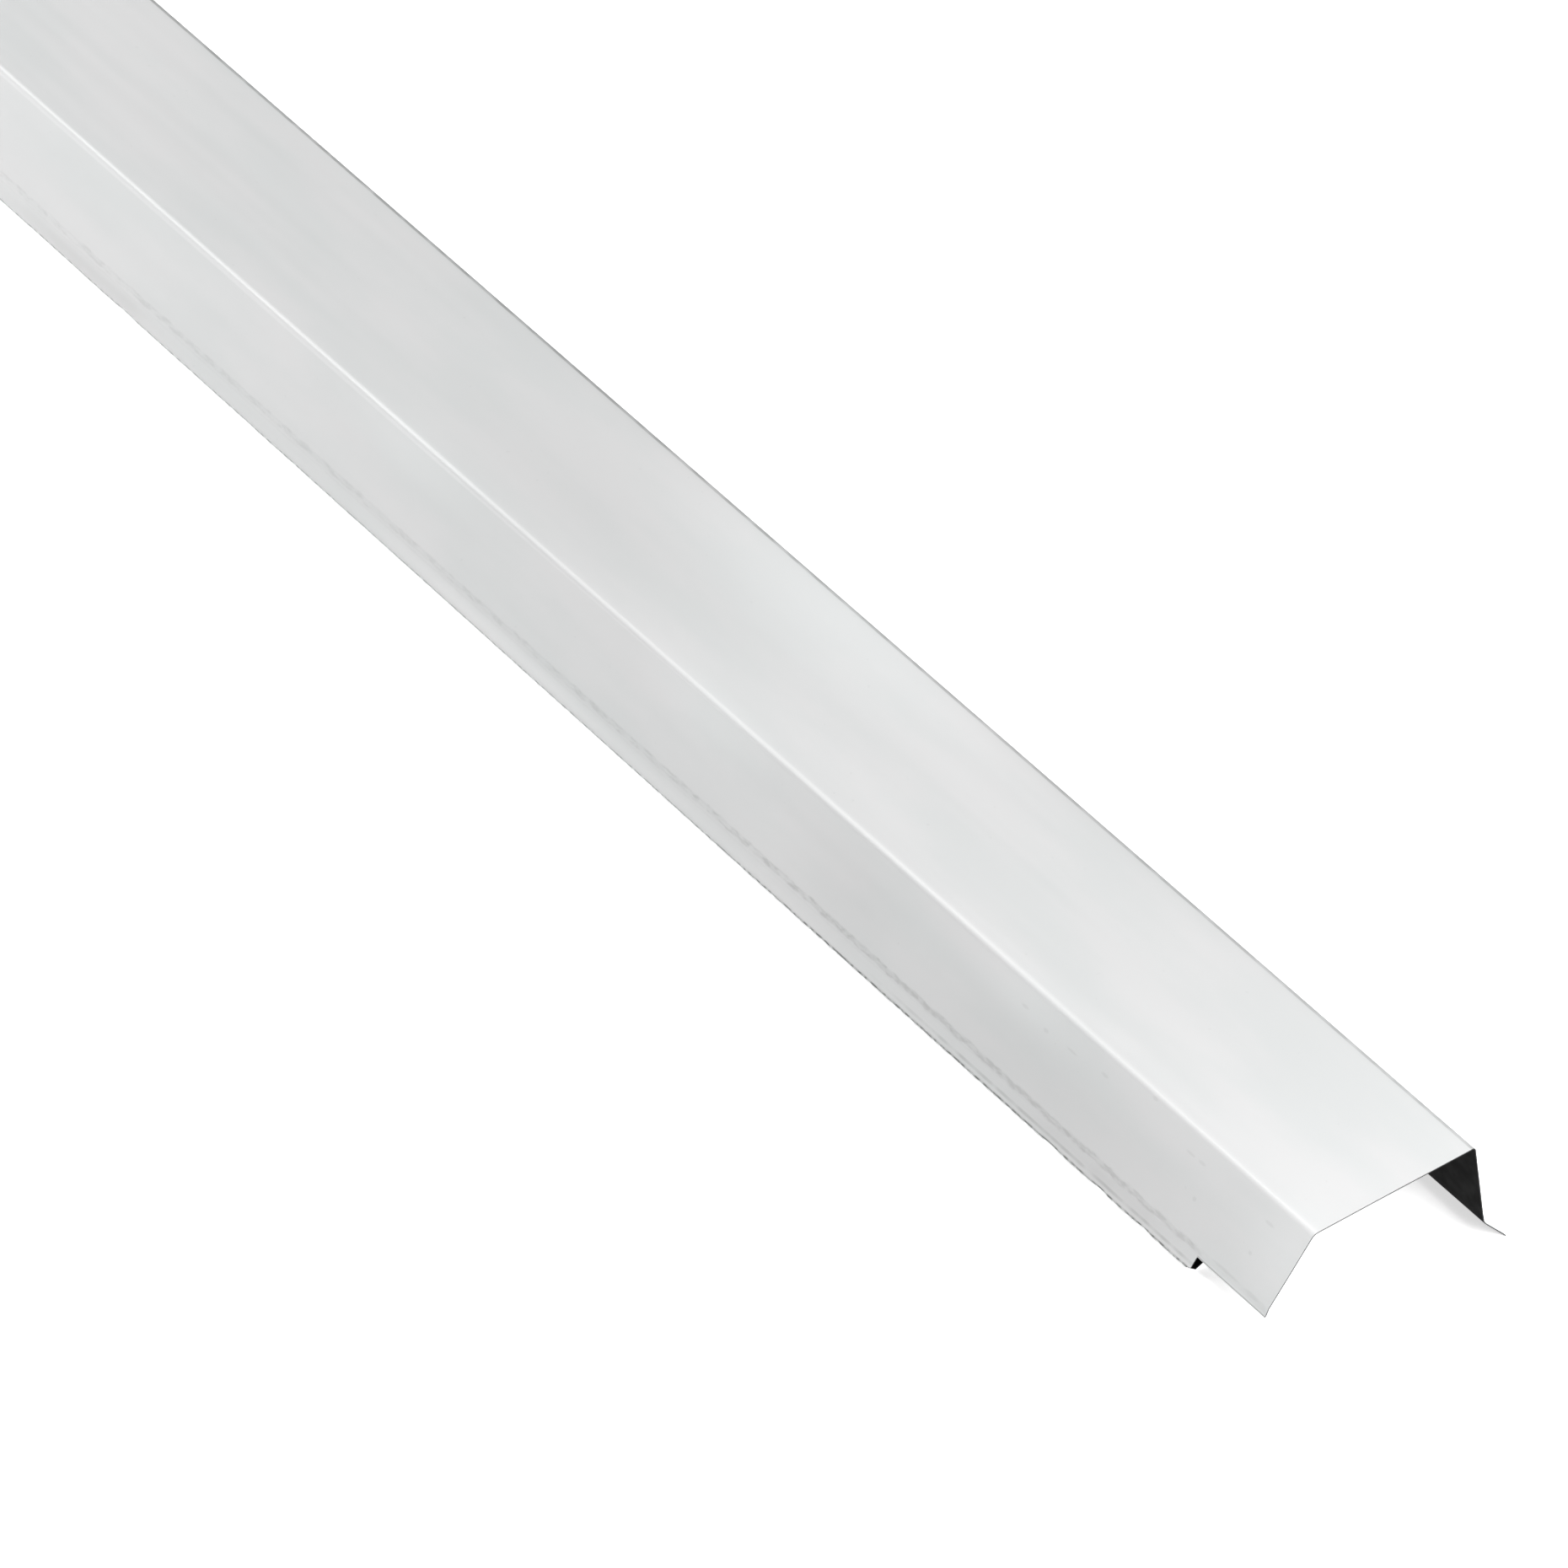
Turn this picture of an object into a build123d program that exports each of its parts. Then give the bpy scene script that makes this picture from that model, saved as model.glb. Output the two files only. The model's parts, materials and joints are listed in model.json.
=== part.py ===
from build123d import *
import math
import os

# Roof edge trim: one length of coated sheet steel, folded into a channel with a sloping front,
# a flat top and a back leg that ends in a turned-out foot. The front's lower edge is stepped in
# and rolled back under itself as a hem. At one end the hem is cut away, so that the next length laps on.
# It lies open side down, standing on the hem's roll and on the edge of the foot.

# Stock
stock_length = 2000.0
sheet_thickness = 0.6

# Widths on the weather face, from one fold's sharp corner to the next
top_width = 100.0
face_width = 45.0
step_width = 4.2
strip_width = 7.4
leg_height = 51.0
foot_width = 20.0

# The hem's roll and the lip that it turns back
hem_radius = 2.0
lip_width = 9.5

# Slopes against the plane of the top, in degrees
face_slope = 45.0
step_slope = 60.0
lip_rise = 20.0
leg_slope = 90.0
foot_slope = 53.0

# Fold radii on the weather face
step_radius = 3.0
fold_radius = 6.0
leg_radius = 2.0
foot_radius = 5.4

# Lap notch: cut straight along the strip below the step, with the hem's own end rounded off under it
lap_length = 60.0
notch_height = 6.6
notch_corner_radius = 0.8
hem_corner_length = 10.0


def onward(start, distance, heading):
    """The point at a distance from another, along a heading in degrees."""
    return start + Vector(distance, 0).rotate(Axis.Z, heading)


def sheet_run(weather_line, start, end):
    """One stretch of the folded sheet: its weather face is the line given, with the sheet below it."""
    outline = weather_line.offset_2d(sheet_thickness, side=Side.RIGHT)
    return extrude(Plane.YZ.offset(start) * make_face(outline), end - start)


def notch_cutter():
    """What the lap takes off the strip and the hem, drawn on the face with the heights measured up the strip."""
    past = lap_length + strip_width
    reach = 3 * hem_radius
    rounding_start = Vector(-hem_corner_length, -hem_radius - sheet_thickness)
    strip_foot = Vector(0, 0)
    inner_corner = Vector(0, notch_height)
    sides = Polyline(
        strip_foot,
        inner_corner,
        (past, notch_height),
        (past, -reach),
        (-hem_corner_length, -reach),
        rounding_start,
    )
    rounding = TangentArc(rounding_start, strip_foot, tangent=(1, 0))
    outline = make_face([*sides.edges(), *rounding.edges()])
    outline = fillet(outline.vertices().sort_by_distance(inner_corner)[0], notch_corner_radius)
    face_normal = Vector(0, -math.sin(math.radians(face_slope)), math.cos(math.radians(face_slope)))
    face_plane = Plane((lap_start, strip_end.X, strip_end.Y), x_dir=(1, 0, 0), z_dir=face_normal)
    return extrude(face_plane * outline, reach, both=True)


# Corners of the section, with the front fold at the origin and the top along the first axis
fold = Vector(0, 0)
step_top = onward(fold, face_width, 180 + face_slope)
step_low = onward(step_top, step_width, 180 + step_slope)
strip_end = onward(step_low, strip_width, 180 + face_slope)
back_corner = Vector(top_width, 0)
leg_end = onward(back_corner, leg_height, -leg_slope)
foot_end = onward(leg_end, foot_width, -foot_slope)

# The hem turns from the strip's slope right round to the lip's
strip_heading = Vector(1, 0).rotate(Axis.Z, 180 + face_slope)
roll = JernArc(strip_end, strip_heading, hem_radius, 180 - face_slope + lip_rise)
lip_end = onward(roll @ 1, lip_width, lip_rise)
hem_line = Wire([Line(lip_end, roll @ 1).edge(), roll.edge()])

# The rest of the sheet, from the strip over the top to the foot
main_line = FilletPolyline(
    strip_end,
    step_low,
    step_top,
    fold,
    back_corner,
    leg_end,
    foot_end,
    radius=[step_radius, step_radius, fold_radius, leg_radius, foot_radius],
)

# The hem stops where the lap begins, and the notch trims the strip there
lap_start = stock_length / 2 - lap_length
main_sheet = sheet_run(main_line.wire(), -stock_length / 2, stock_length / 2)
hem = sheet_run(hem_line, -stock_length / 2, lap_start)
trim = main_sheet + hem - notch_cutter()

# The floor touches the roll and the lower corner of the foot's edge
foot_corner = onward(foot_end, sheet_thickness, -foot_slope - 90)
to_roll = roll.arc_center - foot_corner
floor_heading = math.degrees(math.atan2(to_roll.Y, to_roll.X) + math.asin(hem_radius / to_roll.length))
rest_tilt = 180 - floor_heading
trim = Rot(X=rest_tilt) * trim
box = trim.bounding_box()
trim = Pos(0, -box.center().Y, -box.min.Z) * trim

os.makedirs("parts", exist_ok=True)
export_step(trim, "parts/edge_trim.step")
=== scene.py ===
import json
import math
from collections import namedtuple

import bpy
from mathutils import Matrix, Vector, noise


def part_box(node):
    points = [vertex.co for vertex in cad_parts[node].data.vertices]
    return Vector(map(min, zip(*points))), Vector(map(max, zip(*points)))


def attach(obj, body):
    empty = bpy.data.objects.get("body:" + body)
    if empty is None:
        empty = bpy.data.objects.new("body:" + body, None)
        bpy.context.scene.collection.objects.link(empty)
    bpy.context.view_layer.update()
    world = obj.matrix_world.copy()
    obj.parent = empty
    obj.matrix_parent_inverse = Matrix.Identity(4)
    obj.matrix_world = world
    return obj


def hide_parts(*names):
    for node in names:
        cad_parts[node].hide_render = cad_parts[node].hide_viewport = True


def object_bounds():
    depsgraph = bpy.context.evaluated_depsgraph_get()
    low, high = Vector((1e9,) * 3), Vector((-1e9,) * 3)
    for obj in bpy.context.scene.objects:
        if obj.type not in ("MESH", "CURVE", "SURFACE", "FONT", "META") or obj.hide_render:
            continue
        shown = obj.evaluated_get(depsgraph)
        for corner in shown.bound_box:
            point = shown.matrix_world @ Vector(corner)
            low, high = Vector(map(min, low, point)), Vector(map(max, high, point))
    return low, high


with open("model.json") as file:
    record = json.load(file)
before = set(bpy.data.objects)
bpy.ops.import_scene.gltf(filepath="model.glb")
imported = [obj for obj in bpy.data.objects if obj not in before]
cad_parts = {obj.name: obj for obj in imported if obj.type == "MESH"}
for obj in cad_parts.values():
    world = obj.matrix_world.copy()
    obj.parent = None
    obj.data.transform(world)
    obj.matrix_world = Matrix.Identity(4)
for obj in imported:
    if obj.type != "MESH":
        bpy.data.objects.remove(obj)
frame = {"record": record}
cad_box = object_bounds()

# The section's sizes, as in the solid, in metres and degrees
SHEET = 0.0006
LIP_WIDTH = 0.0095
HEM_RADIUS = 0.002
STRIP_WIDTH = 0.0074
STEP_WIDTH = 0.0042
STEP_RADIUS = 0.003
FACE_WIDTH = 0.045
FOLD_RADIUS = 0.006
TOP_WIDTH = 0.100
LEG_RADIUS = 0.002
LEG_HEIGHT = 0.051
FOOT_RADIUS = 0.0054
FOOT_WIDTH = 0.020
FACE_SLOPE = 45.0
STEP_SLOPE = 60.0
LIP_RISE = 20.0
LEG_SLOPE = 90.0
FOOT_SLOPE = 53.0

# The lap notch, with heights measured up the strip from where the hem's roll begins
LAP_LENGTH = 0.060
LAP_START = cad_box[1][0] - LAP_LENGTH
NOTCH_HEIGHT = 0.0066
NOTCH_CORNER = 0.0008
HEM_CORNER_LENGTH = 0.010
HEM_END_HEIGHT = -0.0002

# How finely the sheet is divided, and how near two places count as one
STATION_STEP = 0.008
HEM_CORNER_STEP = 0.0007
LAP_STEP = 0.003
NOTCH_CORNER_STEPS = 6
ROWS_ABOVE_NOTCH = 2
HALVINGS = 40
SAME_PLACE = 1e-9
SHARP_ANGLE = 40.0

# Unevenness that roll forming, cutting and handling leave in the sheet; a slice is where its noise is read
FLAT_WAVE = 0.00022
FLAT_WAVE_LENGTH = 0.23
FLAT_WAVE_WIDTH = 0.06
FLAT_WAVE_SLICE = 0.4
FOLD_WAVE = 0.00005
FOLD_WAVE_LENGTH = 0.02
FOLD_WAVE_SLICE = 5.2
HEM_WAVE = 0.00022
HEM_WAVE_LENGTH = 0.03
HEM_WAVE_SLICE = 3.7
NICK_DEPTH = 0.0006
NICK_LENGTH = 0.005
NICKS = (-0.104, 0.814, 0.858, 0.896)
FLARE = 0.0005
FLARE_WIDTH = 0.0026
FLARE_RUN_IN = 0.004

# Rub marks on the front: place along the length, height above the face's foot, length and width
RUB_MARKS = (
    (0.751, 0.0333, 0.004, 0.0012),
    (0.772, 0.0310, 0.003, 0.0014),
    (0.795, 0.0319, 0.006, 0.0009),
    (0.823, 0.0341, 0.004, 0.0012),
    (0.861, 0.0426, 0.003, 0.0014),
    (0.901, 0.0334, 0.005, 0.0010),
    (0.911, 0.0336, 0.004, 0.0012),
    (0.919, 0.0167, 0.002, 0.0016),
    (0.971, 0.0333, 0.005, 0.0012),
    (0.970, 0.0151, 0.002, 0.0014),
    (0.986, -0.0010, 0.009, 0.0016),
    (0.962, -0.0005, 0.014, 0.0012),
)
RUB_CORE = 0.4
RUB_STRENGTH = 0.09

# Patches of painted light and painted shade: place along the length, stretch, distance into it, length,
# width, how much paler
LIGHT_AND_SHADE_PATCHES = (
    (0.43, "top", 0.092, 0.22, 0.060, 0.17),
    (0.26, "top", 0.035, 0.20, 0.055, -0.06),
    (0.81, "face", 0.008, 0.26, 0.034, -0.085),
    (1.00, "face", 0.030, 0.06, 0.040, 0.07),
    (0.33, "strip", 0.003, 0.32, 0.006, 0.09),
    (0.86, "strip", 0.004, 0.12, 0.007, -0.07),
    (-0.15, "strip", 0.003, 0.12, 0.007, -0.10),
    (0.97, "strip top", 0.0014, 0.045, 0.003, 0.12),
    (0.15, "face", 0.037, 0.09, 0.022, 0.06),
    (0.45, "face", 0.037, 0.09, 0.022, 0.09),
    (0.75, "face", 0.037, 0.07, 0.018, 0.06),
    (0.60, "face", 0.018, 0.08, 0.036, -0.06),
)
PATCH_CORE = 0.0

# Colours
COAT_COOL = (0.638, 0.651, 0.650)
COAT_WARM = (0.674, 0.675, 0.676)
# A paler coat colour that paints the front fold's highlight
PAINTED_HIGHLIGHT = (0.78, 0.785, 0.785)
# Dark colour for grime and for painted shade and shadow
GRIME_AND_SHADE = (0.10, 0.105, 0.10)
BACK_DARK = (0.006, 0.006, 0.006)
BACK_LIGHT = (0.008, 0.008, 0.008)
EDGE_DARK = (0.01, 0.01, 0.011)
EDGE_LIGHT = (0.04, 0.04, 0.042)
FLOOR_DARK = (0.95, 0.95, 0.95)
FLOOR_LIGHT = (0.97, 0.97, 0.97)
WHITE = (1, 1, 1, 1)

# A pattern: waves a metre along each axis, fineness, the noise levels it eases between and its value at each
Pattern = namedtuple("Pattern", "waves detail low high start end", defaults=(0.0, 1.0))

# A change along the length: where it begins and ends, and the value before and after
Change = namedtuple("Change", "begins ends before after")

# A stripe along the length: how far it lies off a named place, half its width and its soft side
Stripe = namedtuple("Stripe", "off half soft")

# Places on the flat sheet: along the length, across from the lip's edge, and both together
Unfolded = namedtuple("Unfolded", "along across flat")

# The enamel, and a painted highlight: a pale line along the front fold
BLOTCHES = Pattern((6, 24, 0), 3.0, 0.35, 0.65)
FOLD_HIGHLIGHT = Stripe(0.0, 0.0015, 0.0011)
FOLD_HIGHLIGHT_DRIFT = Change(0.1, 0.8, -0.0010, 0.0011)
FOLD_HIGHLIGHT_STRENGTH = Change(0.45, 0.75, 0.38, 0.27)
FOLD_HIGHLIGHT_FADE = Change(0.80, 0.92, 1.0, 0.3)
GLOSS_STREAKS = Pattern((3, 160, 0), 2.0, 0.25, 0.75, 0.28, 0.36)
PEEL_WAVES = (700, 700, 700)
PEEL_DETAIL = 2.0
PEEL_STRENGTH = 0.05
PEEL_DEPTH = 0.0003

# Grime and painted shade along the step's crease
LAP_BLEND = 0.004
STEP_LINE = Stripe(0.0, 0.0010, 0.0012)
STEP_BEADS = Pattern((150, 420, 0), 2.0, 0.36, 0.62, 0.45, 1.0)
STEP_STRENGTH = Change(0.25, 0.85, 0.09, 0.30)
STEP_WANDER = Pattern((80, 0, 0), 2.0, 0.3, 0.7, -0.0005, 0.0005)
STEP_CLIMB = Change(0.5, 0.8, 0.0010, 0.0)
STEP_SPOTS = Pattern((95, 260, 0), 3.0, 0.42, 0.6, -0.5, 0.6)
STEP_SPOTS_FADE = Change(0.5, 0.75, 1.0, 0.2)
STEP_LAP_FADE = Change(LAP_START - LAP_BLEND, LAP_START + LAP_BLEND, 1.0, 0.2)

# Painted shade in the hem's crease, a painted shadow on its rim, a darker line along the lap's cut edge, and
# painted shade on the back bend
CREASE_LINE = Stripe(0.002, 0.0003, 0.0009)
CREASE_BREAKS = Pattern((55, 0, 0), 2.0, 0.3, 0.6)
CREASE_STRENGTH = Change(0.62, 0.74, 0.0, 0.28)
RIM_LINE = Stripe(-0.0026, 0.0012, 0.0010)
RIM_BREAKS = Pattern((230, 300, 0), 2.0, 0.38, 0.6, 0.4, 0.95)
RIM_STRENGTH = Change(0.35, 0.65, 0.7, 1.0)
RIM_CLIMB = Change(0.45, 0.65, 0.0, 0.0004)
RIM_DULLNESS = 0.5
LAP_EDGE_BLEND = 0.001
LAP_EDGE_LINE = Stripe(0.0003, 0.0003, 0.0004)
LAP_EDGE_STRENGTH = Change(LAP_START - LAP_EDGE_BLEND, LAP_START + LAP_EDGE_BLEND, 0.0, 0.45)
BACK_BEND_LINE = Stripe(0.0003, 0.0005, 0.0009)
BACK_BEND_BREAKS = Pattern((70, 240, 0), 4.0, 0.3, 0.65, 0.5, 1.0)
BACK_BEND_STRENGTH = Change(0.0, 0.9, 0.55, 0.38)
SPECKS = Pattern((260, 260, 0), 1.0, 0.75, 0.8, 0.0, 0.05)

# The back coat and the cut edges
BACK_STREAKS = Pattern((4, 130, 0), 3.0, 0.3, 0.7)
BACK_ROUGHNESS = Pattern((90, 90, 0), 2.0, 0.3, 0.7, 0.62, 0.78)
BACK_SPECULAR = 0.035
EDGE_SHEAR = Pattern((900, 900, 900), 2.0, 0.3, 0.7)
EDGE_ROUGHNESS = (0.4, 0.6)
EDGE_METAL = 0.4

# The coats in the order that the mesh numbers them
WEATHER, BACK, EDGE = range(3)

# The photograph's camera
IMAGE_SIDE = 1860
FOCAL_PIXELS = 17056.0
SENSOR = 36.0
CAMERA_AZIMUTH = 56.33
CAMERA_ELEVATION = 35.12
CAMERA_ROLL = 0.85
CAMERA_DISTANCE = 7.6176
CAMERA_AIM = Vector((0.47098, -0.01528, 0.0))

# Studio
FLOOR_SIDE = 240.0
FLOOR_FIBRE = Pattern((30, 30, 30), 2.0, 0.3, 0.7)
FLOOR_ROUGHNESS = 0.8
FLOOR_SPECULAR = 0.2
FLOOR_GLOW = 0.65
SKY = 0.14

# Softboxes: name, both ends of the middle line, width, the place faced and brightness in times white
SOFTBOXES = (
    ("key", (-2.35, -1.25, 2.0), (-0.95, 0.6, 2.25), 1.0, (0.4, 0, 0), 8.2),
    ("near_end", (1.9, -0.2, 0.7), (1.9, 0.4, 0.7), 0.6, (0.95, 0, 0), 17.4),
    ("far_front", (-1.5, -0.9, 0.7), (-0.9, -1.9, 0.7), 0.7, (0.3, 0, 0), 2.8),
    ("behind", (-0.4, 1.8, 0.9), (1.4, 1.8, 0.9), 0.5, (0.5, 0.5, 0), 2.0),
)


def unit(degrees):
    """A unit vector in the section's plane at a heading."""
    a = math.radians(degrees)
    return Vector((math.cos(a), math.sin(a)))


def setback(radius, turn):
    """How far before its sharp corner a bend's arc starts."""
    return radius * math.tan(math.radians(abs(turn)) / 2)


def spread(start, end, step):
    """Places from start to end, both included, no further apart than a step."""
    count = math.ceil((end - start) / step)
    return [start + (end - start) * i / count for i in range(count + 1)]


def smooth(a, b, v):
    """0 before a, 1 after b, and an easy ramp between them."""
    t = min(max((v - a) / (b - a), 0.0), 1.0)
    return t * t * (3 - 2 * t)


class Section:
    """The weather face of the folded sheet, walked from the lip's free edge to the foot's."""

    def __init__(self, heading):
        self.runs = {}
        self.stops = [0.0]
        self.end = Vector((0.0, 0.0))
        self.heading = heading
        self.length = 0.0

    def flat(self, name, length, rows):
        self.turn(name, length, 0.0, rows)

    def bend(self, name, radius, turn, rows):
        """An arc, turning by an angle in degrees, positive to the left of the walk."""
        self.turn(name, radius * math.radians(abs(turn)), turn, rows)

    def turn(self, name, length, turn, rows):
        start = self.length
        self.length += length
        self.runs[name] = dict(start=start, length=length, at=self.end, heading=self.heading, turn=turn)
        self.end, _ = self.point(self.length)
        self.heading += turn
        self.stops += [start + length * i / rows for i in range(1, rows + 1)]

    def run_at(self, s):
        """Name of the stretch at a distance along the walk."""
        for name, run in self.runs.items():
            if s <= run["start"] + run["length"] + SAME_PLACE:
                return name
        return list(self.runs)[-1]

    def point(self, s):
        """The place on the weather face and the direction out of it, at a distance along the walk."""
        run = self.runs[self.run_at(s)]
        gone = s - run["start"]
        if not run["turn"]:
            return run["at"] + unit(run["heading"]) * gone, unit(run["heading"] + 90)
        side = math.copysign(90, run["turn"])
        radius = run["length"] / math.radians(abs(run["turn"]))
        heading = run["heading"] + run["turn"] * gone / run["length"]
        centre = run["at"] + unit(run["heading"] + side) * radius
        return centre - unit(heading + side) * radius, unit(heading + 90)

    def start_of(self, name):
        return self.runs[name]["start"]

    def middle_of(self, name):
        return self.runs[name]["start"] + self.runs[name]["length"] / 2

    def row_of(self, name):
        """The row of points at which a stretch begins."""
        return min(range(len(self.stops)), key=lambda i: abs(self.stops[i] - self.start_of(name)))

    def height(self, s):
        """Height up the strip's slope, from where the roll ends and the strip begins."""
        return (self.point(s)[0] - self.point(self.start_of("strip"))[0]).dot(unit(FACE_SLOPE))

    def stop_at(self, height, below, above):
        """Where the sheet reaches a height, between a place that lies below it and one above."""
        for _ in range(HALVINGS):
            middle = (below + above) / 2
            if self.height(middle) < height:
                below = middle
            else:
                above = middle
        return above


def folded_section():
    """The section with its top level, one named stretch after another."""
    step_turn = STEP_SLOPE - FACE_SLOPE
    foot_turn = LEG_SLOPE - FOOT_SLOPE
    at_step = setback(STEP_RADIUS, step_turn)
    at_fold = setback(FOLD_RADIUS, FACE_SLOPE)
    at_leg = setback(LEG_RADIUS, LEG_SLOPE)
    at_foot = setback(FOOT_RADIUS, foot_turn)
    notch_root = NOTCH_HEIGHT - NOTCH_CORNER
    s = Section(180 + LIP_RISE)
    s.flat("lip", LIP_WIDTH, rows=5)
    s.bend("roll under", HEM_RADIUS, FACE_SLOPE - LIP_RISE - 90, rows=6)
    s.bend("roll front", HEM_RADIUS, -90, rows=8)
    s.flat("strip", notch_root, rows=4)
    s.flat("strip top", STRIP_WIDTH - at_step - notch_root, rows=2)
    s.bend("step foot", STEP_RADIUS, step_turn, rows=4)
    s.flat("step", STEP_WIDTH - 2 * at_step, rows=3)
    s.bend("step head", STEP_RADIUS, -step_turn, rows=4)
    s.flat("face", FACE_WIDTH - at_step - at_fold, rows=16)
    s.bend("fold", FOLD_RADIUS, -FACE_SLOPE, rows=10)
    s.flat("top", TOP_WIDTH - at_fold - at_leg, rows=28)
    s.bend("leg bend", LEG_RADIUS, -LEG_SLOPE, rows=9)
    s.flat("leg", LEG_HEIGHT - at_leg - at_foot, rows=14)
    s.bend("foot bend", FOOT_RADIUS, foot_turn, rows=8)
    s.flat("foot", FOOT_WIDTH - at_foot, rows=6)
    return s


def squeeze(stops, first, last, start, end):
    """Moves the rows from first to last so that they run evenly from start to end."""
    low, high = stops[first], stops[last]
    moved = [start + (s - low) * (end - start) / (high - low) for s in stops[first:last + 1]]
    return stops[:first] + moved + stops[last + 1:]


def hem_corner_height(into):
    """Height of the rounded cut across the hem's end, at a place short of the lap."""
    rise = HEM_RADIUS + SHEET
    radius = (HEM_CORNER_LENGTH ** 2 + rise ** 2) / (2 * rise)
    along = max(into + HEM_CORNER_LENGTH, 0.0)
    return min(radius - math.sqrt(radius ** 2 - along ** 2) - rise, HEM_END_HEIGHT)


def notch_height(into):
    """Height of the notch's cut edge, at a distance into the lap."""
    short = max(NOTCH_CORNER - into, 0.0)
    return NOTCH_HEIGHT - NOTCH_CORNER + math.sqrt(NOTCH_CORNER ** 2 - short ** 2)


def rows_at(section, into):
    """Where the hem's rows and the front's lie at one station, given how far into the lap it is."""
    split = section.row_of("roll front")
    strip = section.row_of("strip")
    stops = section.stops
    bottom = stops[split]
    if into > 0:
        cut_row = section.row_of("strip top")
        free_row = section.row_of("face") + ROWS_ABOVE_NOTCH
        cut = section.stop_at(notch_height(into), stops[strip], stops[free_row])
        front = squeeze(stops, cut_row, free_row, cut, stops[free_row])
        return {}, {j: front[j] for j in range(cut_row, len(stops))}
    height = hem_corner_height(into)
    if height <= -HEM_RADIUS:
        return dict(enumerate(stops[:split + 1])), {j: stops[j] for j in range(split, len(stops))}
    front = squeeze(stops, split, strip, section.stop_at(height, bottom, stops[strip]), stops[strip])
    hem = squeeze(stops, 0, split, 0.0, section.stop_at(height, bottom, 0.0))
    return dict(enumerate(hem[:split + 1])), {j: front[j] for j in range(split, len(stops))}


def unevenness(section, x, s, into, cut):
    """How far the sheet stands off its true section there, outwards."""
    name = section.run_at(s)
    run = section.runs[name]
    hem_end = section.start_of("step")
    off = 0.0
    if name in ("face", "top", "leg"):
        bulge = math.sin(math.pi * (s - run["start"]) / run["length"])
        wave = noise.noise(Vector((x / FLAT_WAVE_LENGTH, s / FLAT_WAVE_WIDTH, FLAT_WAVE_SLICE)))
        off += FLAT_WAVE * bulge * wave
    if name == "fold":
        off += FOLD_WAVE * noise.noise(Vector((x / FOLD_WAVE_LENGTH, 0.0, FOLD_WAVE_SLICE)))
    if into > 0:
        flare = max(1 - (s - cut) / FLARE_WIDTH, 0.0)
        return off + FLARE * flare * flare * smooth(0, FLARE_RUN_IN, into)
    if s < hem_end:
        held = 1 - smooth(section.start_of("strip"), hem_end, s)
        wave = 0.5 + 0.5 * noise.noise(Vector((x / HEM_WAVE_LENGTH, HEM_WAVE_SLICE, 0.0)))
        nick = sum(math.exp(-(((x - n) / NICK_LENGTH) ** 2)) for n in NICKS)
        off -= held * (HEM_WAVE * wave + NICK_DEPTH * nick)
    return off


def station_places(low, high):
    """Places along the length at which the section is drawn, closest at the hem's end and the notch."""
    corner_start = LAP_START - HEM_CORNER_LENGTH
    notch_end = LAP_START + NOTCH_CORNER
    quarter = [math.pi / 2 * i / NOTCH_CORNER_STEPS for i in range(1, NOTCH_CORNER_STEPS)]
    places = spread(low, corner_start, STATION_STEP)[:-1]
    places += spread(corner_start, LAP_START, HEM_CORNER_STEP)
    places += [LAP_START + NOTCH_CORNER * (1 - math.cos(a)) for a in quarter]
    return places + spread(notch_end, high, LAP_STEP)


def as_it_lies(section, low):
    """The turn and the shift that lay the section as the solid lies, whose box has this low corner."""
    top_out = Vector(next(m["axis"] for m in frame["record"]["mounts"] if m["name"] == "lap_seat"))
    turn = Matrix.Rotation(math.atan2(-top_out.y, top_out.z), 2)
    ends = map(section.point, section.stops)
    outline = [turn @ (p - n * depth) for p, n in ends for depth in (0.0, SHEET)]
    shift = Vector((low.y - min(p.x for p in outline), low.z - min(p.y for p in outline)))
    return turn, shift


def woven(grids):
    """Faces on both sides of each grid of points and across its free edges, and the coat that each has."""
    faces, coats, sides = [], [], set()
    for grid in grids:
        for i, j in grid:
            around = [grid.get(k) for k in ((i, j), (i + 1, j), (i + 1, j + 1), (i, j + 1))]
            if None in around:
                continue
            faces += [around, [v + 1 for v in reversed(around)]]
            coats += [WEATHER, BACK]
            sides.update(zip(around, around[1:] + around[:1]))
    free = sorted(e for e in sides if (e[1], e[0]) not in sides)
    faces += [[b, a, a + 1, b + 1] for a, b in free]
    coats += [EDGE] * len(free)
    return faces, coats


def sheet_mesh(section):
    """The whole length as one closed mesh: weather face, back face and cut edges."""
    low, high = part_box("edge_trim")
    turn, shift = as_it_lies(section, low)
    verts, across, hem_grid, front_grid = [], [], {}, {}
    for i, x in enumerate(station_places(low.x, high.x)):
        into = x - LAP_START if abs(x - LAP_START) > SAME_PLACE else 0.0
        hem, front = rows_at(section, into)
        cut = min(front.values())
        for rows, grid in ((hem, hem_grid), (front, front_grid)):
            for j, s in rows.items():
                if grid is front_grid and hem.get(j) == s:
                    grid[i, j] = hem_grid[i, j]
                    continue
                at, out = section.point(s)
                off = unevenness(section, x, s, into, cut)
                grid[i, j] = len(verts)
                for depth in (0.0, SHEET):
                    p = turn @ (at + out * (off - depth)) + shift
                    verts.append((x, p.x, p.y))
                    across.append(s)

    faces, coats = woven((hem_grid, front_grid))
    mesh = bpy.data.meshes.new("trim_sheet")
    mesh.from_pydata(verts, [], faces)
    mesh.polygons.foreach_set("material_index", coats)
    mesh.polygons.foreach_set("use_smooth", [True] * len(faces))
    mesh.attributes.new("across", "FLOAT", "POINT").data.foreach_set("value", across)
    mesh.set_sharp_from_angle(angle=math.radians(SHARP_ANGLE))
    mesh.update()
    return mesh


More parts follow.
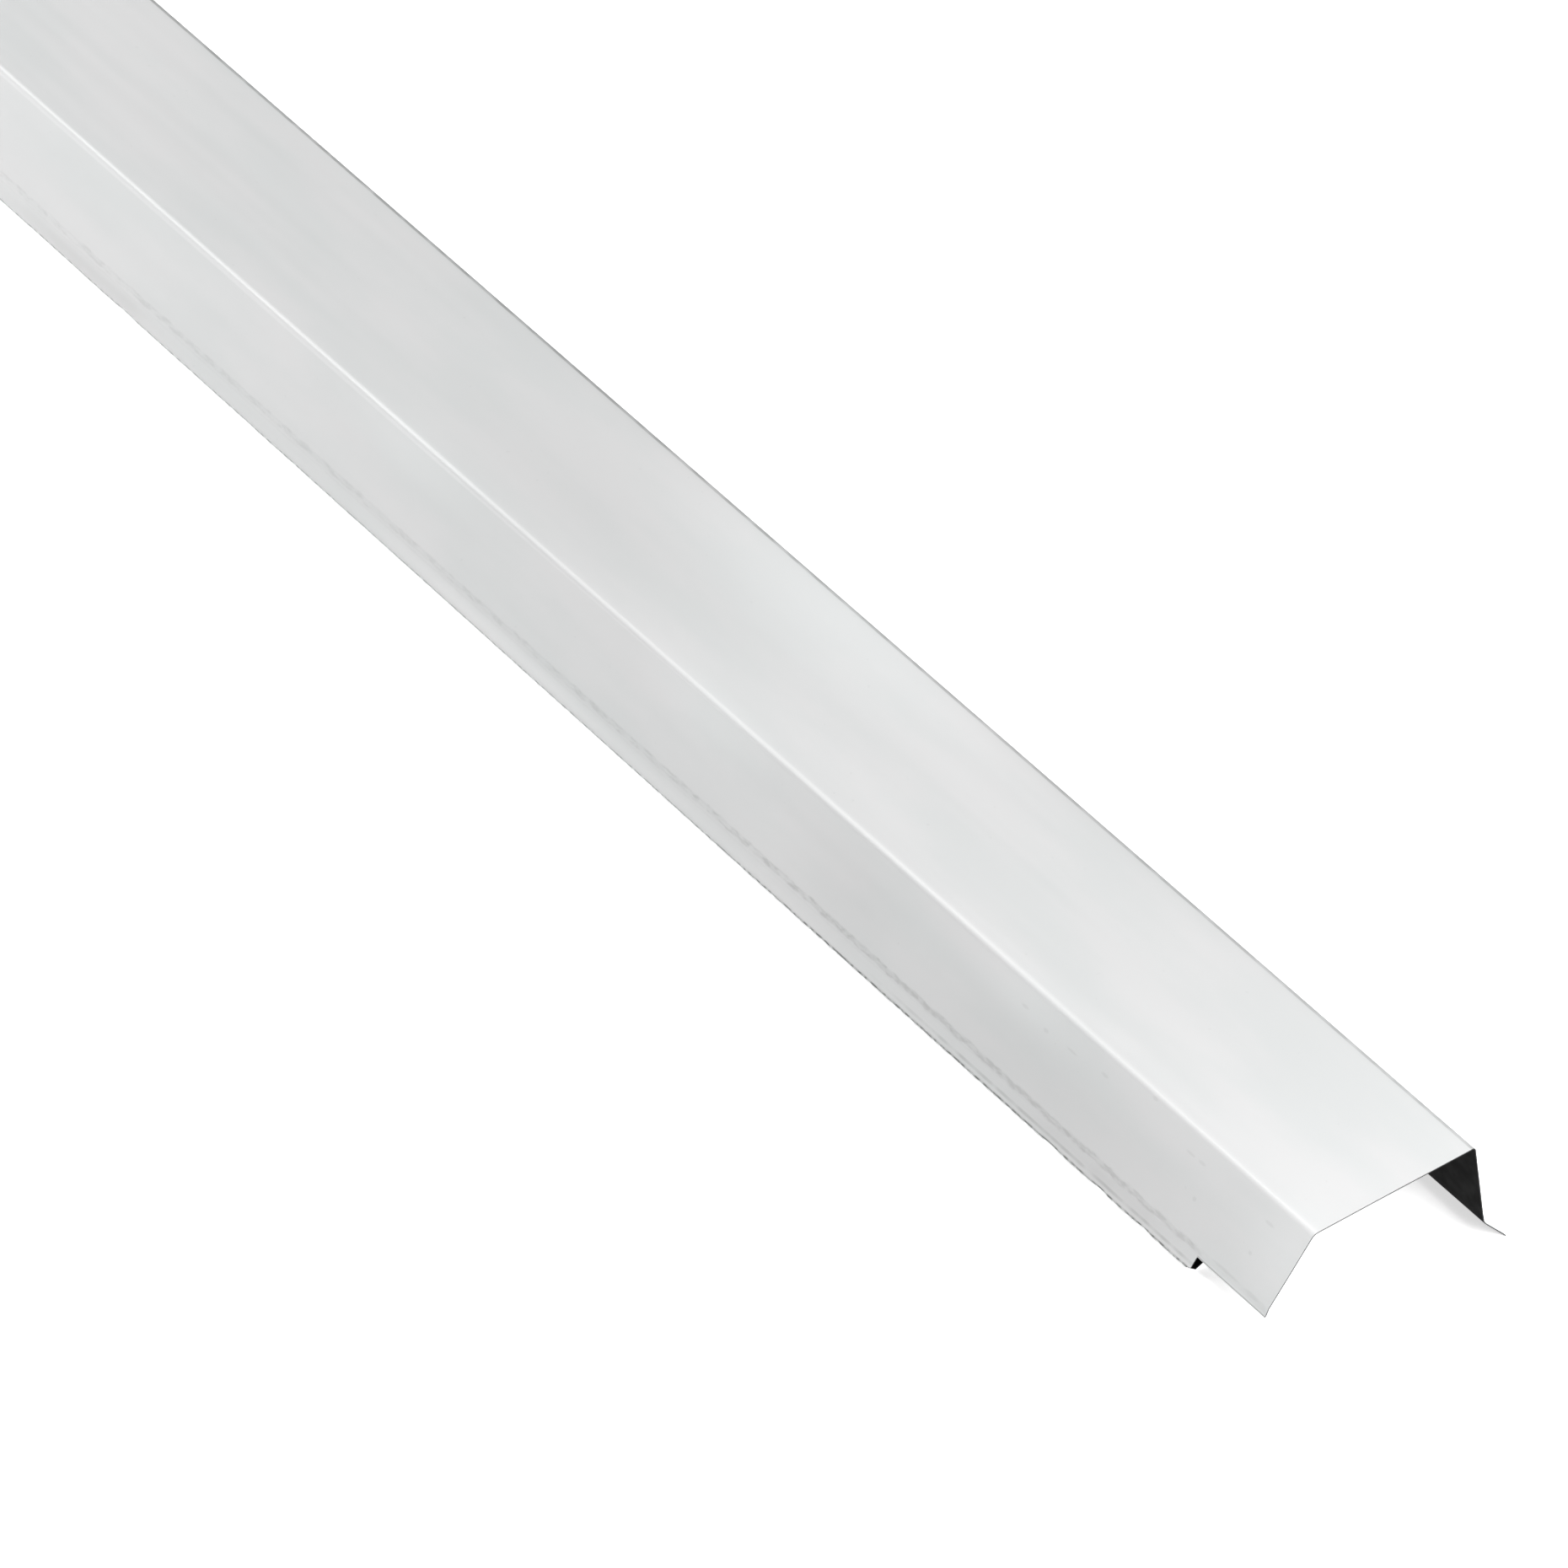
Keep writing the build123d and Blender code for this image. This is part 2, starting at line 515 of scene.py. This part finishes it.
def add(tree, kind, inputs=None, **settings):
    """A shader node; each input is a number, a colour, another node or one of its outputs."""
    node = tree.nodes.new("ShaderNode" + kind)
    for name, value in settings.items():
        setattr(node, name, value)
    for name, value in (inputs or {}).items():
        join(tree, value, node.inputs[name])
    return node


def join(tree, value, socket):
    """Sets a socket to a number or colour, or links a node's output to it."""
    if isinstance(value, bpy.types.Node):
        value = value.outputs[0]
    if isinstance(value, bpy.types.NodeSocket):
        tree.links.new(value, socket)
    else:
        socket.default_value = value


def calc(tree, operation, a, b=0.0):
    return add(tree, "Math", {0: a, 1: b}, operation=operation)


def times(tree, *factors):
    result = factors[0]
    for factor in factors[1:]:
        result = calc(tree, "MULTIPLY", result, factor)
    return result


def total(tree, *terms):
    result = terms[0]
    for term in terms[1:]:
        result = calc(tree, "ADD", result, term)
    return result


def ramp(tree, value, low, high, start, end):
    """An easy ramp from start to end while the value goes from low to high."""
    limits = {"From Min": low, "From Max": high, "To Min": start, "To Max": end}
    return add(tree, "MapRange", {"Value": value, **limits}, interpolation_type="SMOOTHSTEP")


def falloff(tree, place, centre, length, width, core):
    """1 in the core of an oval spot, easing to 0 at its border."""
    away = add(tree, "VectorMath", {0: place, 1: centre}, operation="SUBTRACT")
    away = add(tree, "VectorMath", {0: away, 1: (1 / length, 1 / width, 0)}, operation="MULTIPLY")
    reach = add(tree, "VectorMath", {0: away}, operation="LENGTH").outputs["Value"]
    return ramp(tree, reach, core, 1.0, 1.0, 0.0)


def grain(tree, place, waves, detail):
    """Noise with so many waves a metre along each axis."""
    scaled = add(tree, "VectorMath", {0: place, 1: waves}, operation="MULTIPLY")
    return add(tree, "TexNoise", {"Vector": scaled, "Scale": 1.0, "Detail": detail})


def pattern(tree, place, p):
    """A noise pattern laid over the places."""
    return ramp(tree, grain(tree, place, p.waves, p.detail), p.low, p.high, p.start, p.end)


def change(tree, sheet, c):
    """A value that eases into another along the length."""
    return ramp(tree, sheet.along, c.begins, c.ends, c.before, c.after)


def stripe(tree, across, place, s):
    """1 in a stripe along the length, 0 outside it, with soft sides."""
    away = calc(tree, "ABSOLUTE", calc(tree, "SUBTRACT", across, place + s.off))
    return ramp(tree, away, s.half, s.half + s.soft, 1.0, 0.0)


def mix(tree, factor, a, b):
    """A colour between two others."""
    node = add(tree, "Mix", {0: factor}, data_type="RGBA")
    first, second, result = node.inputs[6], node.inputs[7], node.outputs[2]
    for socket, value in ((first, a), (second, b)):
        join(tree, (*value, 1.0) if isinstance(value, tuple) else value, socket)
    return result


def new_material(name):
    """A material, its node tree, its shader and the places that its patterns are laid out by."""
    m = bpy.data.materials.new(name)
    m.use_nodes = True
    tree = m.node_tree
    place = add(tree, "TexCoord").outputs["Object"]
    return m, tree, tree.nodes["Principled BSDF"], place


def unfolded(tree, place):
    """Places on the flat sheet before it was folded."""
    along = add(tree, "SeparateXYZ", {0: place}).outputs["X"]
    across = add(tree, "Attribute", attribute_name="across").outputs["Fac"]
    return Unfolded(along, across, add(tree, "CombineXYZ", {"X": along, "Y": across}))


def enamel_and_painted_light(tree, section, sheet):
    """The coat's colour: faint blotches, a painted highlight along the front fold, and patches of painted
    light and shade.
    """
    colour = mix(tree, pattern(tree, sheet.flat, BLOTCHES), COAT_COOL, COAT_WARM)
    # A painted highlight along the front fold, drifting and fading along the length
    level = calc(tree, "SUBTRACT", sheet.across, change(tree, sheet, FOLD_HIGHLIGHT_DRIFT))
    line = stripe(tree, level, section.middle_of("fold"), FOLD_HIGHLIGHT)
    strength = times(tree, change(tree, sheet, FOLD_HIGHLIGHT_STRENGTH), change(tree, sheet, FOLD_HIGHLIGHT_FADE))
    colour = mix(tree, times(tree, line, strength), colour, PAINTED_HIGHLIGHT)
    tone = 1.0
    # Painted light and shade in patches, paler or darker
    for x, name, into, length, width, paler in LIGHT_AND_SHADE_PATCHES:
        centre = (x, section.start_of(name) + into, 0)
        spot = falloff(tree, sheet.flat, centre, length, width, PATCH_CORE)
        tone = calc(tree, "ADD", times(tree, spot, paler), tone)
    return add(tree, "VectorMath", {0: colour, "Scale": tone}, operation="SCALE").outputs[0]


def step_grime_and_shade(tree, section, sheet):
    """Beads of grime and painted shade along the step: fainter, spottier and higher in the far part, little
    on the lap.
    """
    wandering = calc(tree, "ADD", sheet.across, pattern(tree, sheet.flat, STEP_WANDER))
    level = calc(tree, "SUBTRACT", wandering, change(tree, sheet, STEP_CLIMB))
    line = stripe(tree, level, section.middle_of("step"), STEP_LINE)
    beads = pattern(tree, sheet.flat, STEP_BEADS)
    spots = times(tree, pattern(tree, sheet.flat, STEP_SPOTS), change(tree, sheet, STEP_SPOTS_FADE))
    strength = times(tree, change(tree, sheet, STEP_STRENGTH), change(tree, sheet, STEP_LAP_FADE))
    return times(tree, line, beads, strength, calc(tree, "ADD", spots, 1.0))


def crease_shade(tree, section, sheet):
    """A broken line of painted shade in the crease above the hem's roll, in the near part."""
    line = stripe(tree, sheet.across, section.start_of("strip"), CREASE_LINE)
    return times(tree, line, pattern(tree, sheet.flat, CREASE_BREAKS), change(tree, sheet, CREASE_STRENGTH))


def rim_shadow(tree, section, sheet):
    """A broken dark rim of painted shadow round the hem's roll, wider in the near part."""
    level = calc(tree, "SUBTRACT", sheet.across, change(tree, sheet, RIM_CLIMB))
    line = stripe(tree, level, section.start_of("strip"), RIM_LINE)
    return times(tree, line, pattern(tree, sheet.flat, RIM_BREAKS), change(tree, sheet, RIM_STRENGTH))


def lap_edge_darkening(tree, section, sheet):
    """A thin dark line along the notch's cut edge."""
    line = stripe(tree, sheet.across, section.start_of("strip") + NOTCH_HEIGHT, LAP_EDGE_LINE)
    return times(tree, line, change(tree, sheet, LAP_EDGE_STRENGTH))


def back_bend_shade(tree, section, sheet):
    """A ragged line of painted shade where the top turns down into the leg."""
    line = stripe(tree, sheet.across, section.start_of("leg bend"), BACK_BEND_LINE)
    breaks = pattern(tree, sheet.flat, BACK_BEND_BREAKS)
    return times(tree, line, change(tree, sheet, BACK_BEND_STRENGTH), breaks)


def weather_coat(section):
    """White baked enamel: faint blotches, grime and painted shade along the step, painted shade and shadow
    on the hem, rub marks and specks.
    """
    m, tree, shader, place = new_material("weather_coat")
    sheet = unfolded(tree, place)
    rim = rim_shadow(tree, section, sheet)
    makers = (step_grime_and_shade, crease_shade, lap_edge_darkening, back_bend_shade)
    lines = [make(tree, section, sheet) for make in makers]
    # Specks and rub marks together with the painted shade and shadow lines
    dirt_and_shade = total(tree, rim, *lines, pattern(tree, sheet.flat, SPECKS))
    for x, height, length, width in RUB_MARKS:
        centre = (x, section.start_of("face") + height, 0)
        mark = falloff(tree, sheet.flat, centre, length, width, RUB_CORE)
        dirt_and_shade = calc(tree, "ADD", dirt_and_shade, times(tree, mark, RUB_STRENGTH))
    colour = mix(tree, dirt_and_shade, enamel_and_painted_light(tree, section, sheet), GRIME_AND_SHADE)
    join(tree, colour, shader.inputs["Base Color"])

    dull = times(tree, rim, RIM_DULLNESS)
    join(tree, total(tree, pattern(tree, sheet.flat, GLOSS_STREAKS), dull), shader.inputs["Roughness"])
    peel = grain(tree, place, PEEL_WAVES, PEEL_DETAIL)
    bump = add(tree, "Bump", {"Height": peel, "Strength": PEEL_STRENGTH, "Distance": PEEL_DEPTH})
    join(tree, bump, shader.inputs["Normal"])
    return m


def back_coat():
    """Thin matt charcoal primer, streaked along the length by the coating roller."""
    m, tree, shader, place = new_material("back_coat")
    sheet = unfolded(tree, place)
    streaks = pattern(tree, sheet.flat, BACK_STREAKS)
    join(tree, mix(tree, streaks, BACK_DARK, BACK_LIGHT), shader.inputs["Base Color"])
    join(tree, pattern(tree, sheet.flat, BACK_ROUGHNESS), shader.inputs["Roughness"])
    shader.inputs["Specular IOR Level"].default_value = BACK_SPECULAR
    return m


def cut_edge():
    """Sheared steel with zinc smeared over it."""
    m, tree, shader, place = new_material("cut_edge")
    shear = pattern(tree, place, EDGE_SHEAR)
    join(tree, mix(tree, shear, EDGE_DARK, EDGE_LIGHT), shader.inputs["Base Color"])
    join(tree, ramp(tree, shear, 0.0, 1.0, *EDGE_ROUGHNESS), shader.inputs["Roughness"])
    shader.inputs["Metallic"].default_value = EDGE_METAL
    return m


def floor_paper():
    """Pale seamless paper on a light table."""
    m, tree, shader, place = new_material("floor_paper")
    fibre = pattern(tree, place, FLOOR_FIBRE)
    join(tree, mix(tree, fibre, FLOOR_DARK, FLOOR_LIGHT), shader.inputs["Base Color"])
    shader.inputs["Roughness"].default_value = FLOOR_ROUGHNESS
    shader.inputs["Specular IOR Level"].default_value = FLOOR_SPECULAR
    shader.inputs["Emission Color"].default_value = WHITE
    shader.inputs["Emission Strength"].default_value = FLOOR_GLOW
    return m


def put(name, data):
    o = bpy.data.objects.new(name, data)
    bpy.context.scene.collection.objects.link(o)
    return o


def softbox(name, start, end, width, aim, brightness):
    """A long diffuser from start to end, facing the aim as well as it can, so many times white."""
    start, end, aim = Vector(start), Vector(end), Vector(aim)
    middle = (start + end) / 2
    along = (end - start).normalized()
    away = middle - aim
    away = (away - along * away.dot(along)).normalized()
    light = bpy.data.lights.new(name, "AREA")
    light.shape = "RECTANGLE"
    light.size = (end - start).length
    light.size_y = width
    light.energy = brightness * math.pi * light.size * light.size_y
    o = put(name, light)
    facing = Matrix((along, away.cross(along), away)).transposed()
    o.matrix_world = Matrix.LocRotScale(middle, facing, None)
    o.visible_camera = False


# The trim
section = folded_section()
mesh = sheet_mesh(section)
for m in (weather_coat(section), back_coat(), cut_edge()):
    mesh.materials.append(m)
trim = put("trim_sheet", mesh)
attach(trim, "root")
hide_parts("edge_trim")

# The floor
half = FLOOR_SIDE / 2
corners = [(-half, -half, 0), (half, -half, 0), (half, half, 0), (-half, half, 0)]
floor_mesh = bpy.data.meshes.new("floor")
floor_mesh.from_pydata(corners, [], [(0, 1, 2, 3)])
floor_mesh.materials.append(floor_paper())
put("floor", floor_mesh)

# The camera
az, el, roll = (math.radians(v) for v in (CAMERA_AZIMUTH, CAMERA_ELEVATION, CAMERA_ROLL))
back = Vector((math.sin(az) * math.cos(el), -math.cos(az) * math.cos(el), math.sin(el)))
right = Vector((math.cos(az), math.sin(az), 0))
up = back.cross(right)
rolled_right = right * math.cos(roll) + up * math.sin(roll)
rolled_up = up * math.cos(roll) - right * math.sin(roll)
camera = put("camera", bpy.data.cameras.new("camera"))
camera.data.sensor_width = SENSOR
camera.data.lens = FOCAL_PIXELS / IMAGE_SIDE * SENSOR
camera.data.clip_end = FLOOR_SIDE
facing = Matrix((rolled_right, rolled_up, back)).transposed()
camera.matrix_world = Matrix.LocRotScale(CAMERA_AIM + back * CAMERA_DISTANCE, facing, None)
bpy.context.scene.camera = camera

# The lights: a key that the front fold mirrors, a box off each end and one behind
for box in SOFTBOXES:
    softbox(*box)

# The room
world = bpy.data.worlds.new("studio")
bpy.context.scene.world = world
world.use_nodes = True
room = world.node_tree.nodes["Background"]
room.inputs["Color"].default_value = WHITE
room.inputs["Strength"].default_value = SKY
bpy.context.scene.view_settings.view_transform = "Standard"

bpy.context.view_layer.update()
